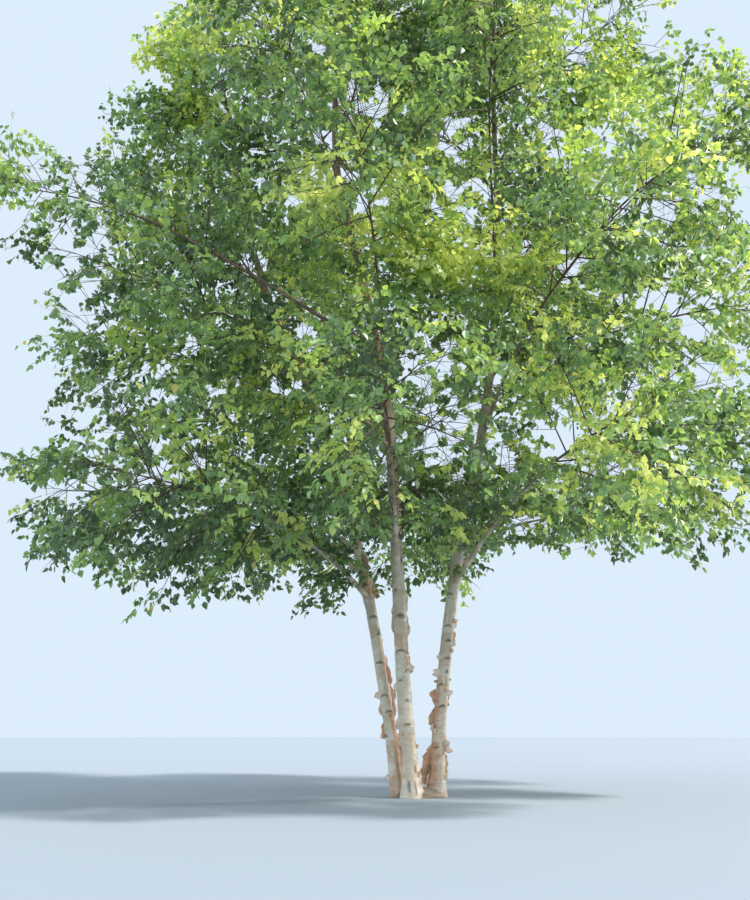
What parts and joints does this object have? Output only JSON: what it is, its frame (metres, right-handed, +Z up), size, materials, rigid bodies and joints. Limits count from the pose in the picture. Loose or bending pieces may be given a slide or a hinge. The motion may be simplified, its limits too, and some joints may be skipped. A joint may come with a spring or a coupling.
{
  "type": "multi-stem river birch tree",
  "caption": "Clump-grown river birch: leaning stems with pale peeling bark rise from a shared root crown into arching boughs and an airy, rounded crown of small leaves.",
  "frame": {"origin": "on the level ground, in the middle of the root crown's flat cut", "axes": "+Z up along the stems, +X to the right of the picture, -Y towards its viewer"},
  "size_m": [9.8101, 8.3528, 11.5758],
  "materials": {
    "bark_stem": "cream to salmon bark that peels in papery curls, with dark scars",
    "bark_foot": "rough tan bark, cracked and peeling",
    "bark_bough": "brown bark, matt, with fine pores",
    "leaves_mid": "green leaves with a soft sheen",
    "leaves_light": "yellow-green leaves with a soft sheen",
    "leaves_deep": "deeper green leaves with a soft sheen"
  },
  "bodies": {
    "root": {"root_crown": "bark_foot", "stem_left": "bark_stem", "stem_centre": "bark_stem", "stem_right": "bark_stem", "bough_low_left": "bark_bough", "bough_low_left_front": "bark_bough", "bough_low_front": "bark_bough", "bough_low_front_right": "bark_bough", "bough_low_right": "bark_bough", "bough_low_back_right": "bark_bough", "bough_low_back": "bark_bough", "bough_low_back_left": "bark_bough", "bough_mid_left": "bark_bough", "bough_mid_left_front": "bark_bough", "bough_mid_front": "bark_bough", "bough_mid_front_right": "bark_bough", "bough_mid_right": "bark_bough", "bough_mid_back_right": "bark_bough", "bough_mid_back": "bark_bough", "bough_mid_back_left": "bark_bough", "bough_long_left": "bark_bough", "bough_high_left": "bark_bough", "bough_high_left_front": "bark_bough", "bough_high_front": "bark_bough", "bough_long_right": "bark_bough", "bough_high_back_right": "bark_bough", "bough_high_back_left": "bark_bough", "bough_upper_front": "bark_bough", "bough_upper_right": "bark_bough", "bough_upper_back": "bark_bough", "foliage_low_left": "leaves_mid", "foliage_low_left_front": "leaves_light", "foliage_low_front": "leaves_deep", "foliage_low_front_right": "leaves_mid", "foliage_low_right": "leaves_light", "foliage_low_back_right": "leaves_deep", "foliage_low_back": "leaves_mid", "foliage_low_back_left": "leaves_light", "foliage_mid_left": "leaves_deep", "foliage_mid_left_front": "leaves_mid", "foliage_mid_front": "leaves_light", "foliage_mid_front_right": "leaves_deep", "foliage_mid_right": "leaves_mid", "foliage_mid_back_right": "leaves_light", "foliage_mid_back": "leaves_deep", "foliage_mid_back_left": "leaves_mid", "foliage_long_left": "leaves_light", "foliage_high_left": "leaves_deep", "foliage_high_left_front": "leaves_mid", "foliage_high_front": "leaves_light", "foliage_long_right": "leaves_deep", "foliage_high_back_right": "leaves_mid", "foliage_high_back_left": "leaves_light", "foliage_upper_front": "leaves_deep", "foliage_upper_right": "leaves_mid", "foliage_upper_back": "leaves_light", "foliage_top_left": "leaves_deep", "foliage_top_centre": "leaves_mid", "foliage_top_right": "leaves_light"}
  },
  "joints": []
}
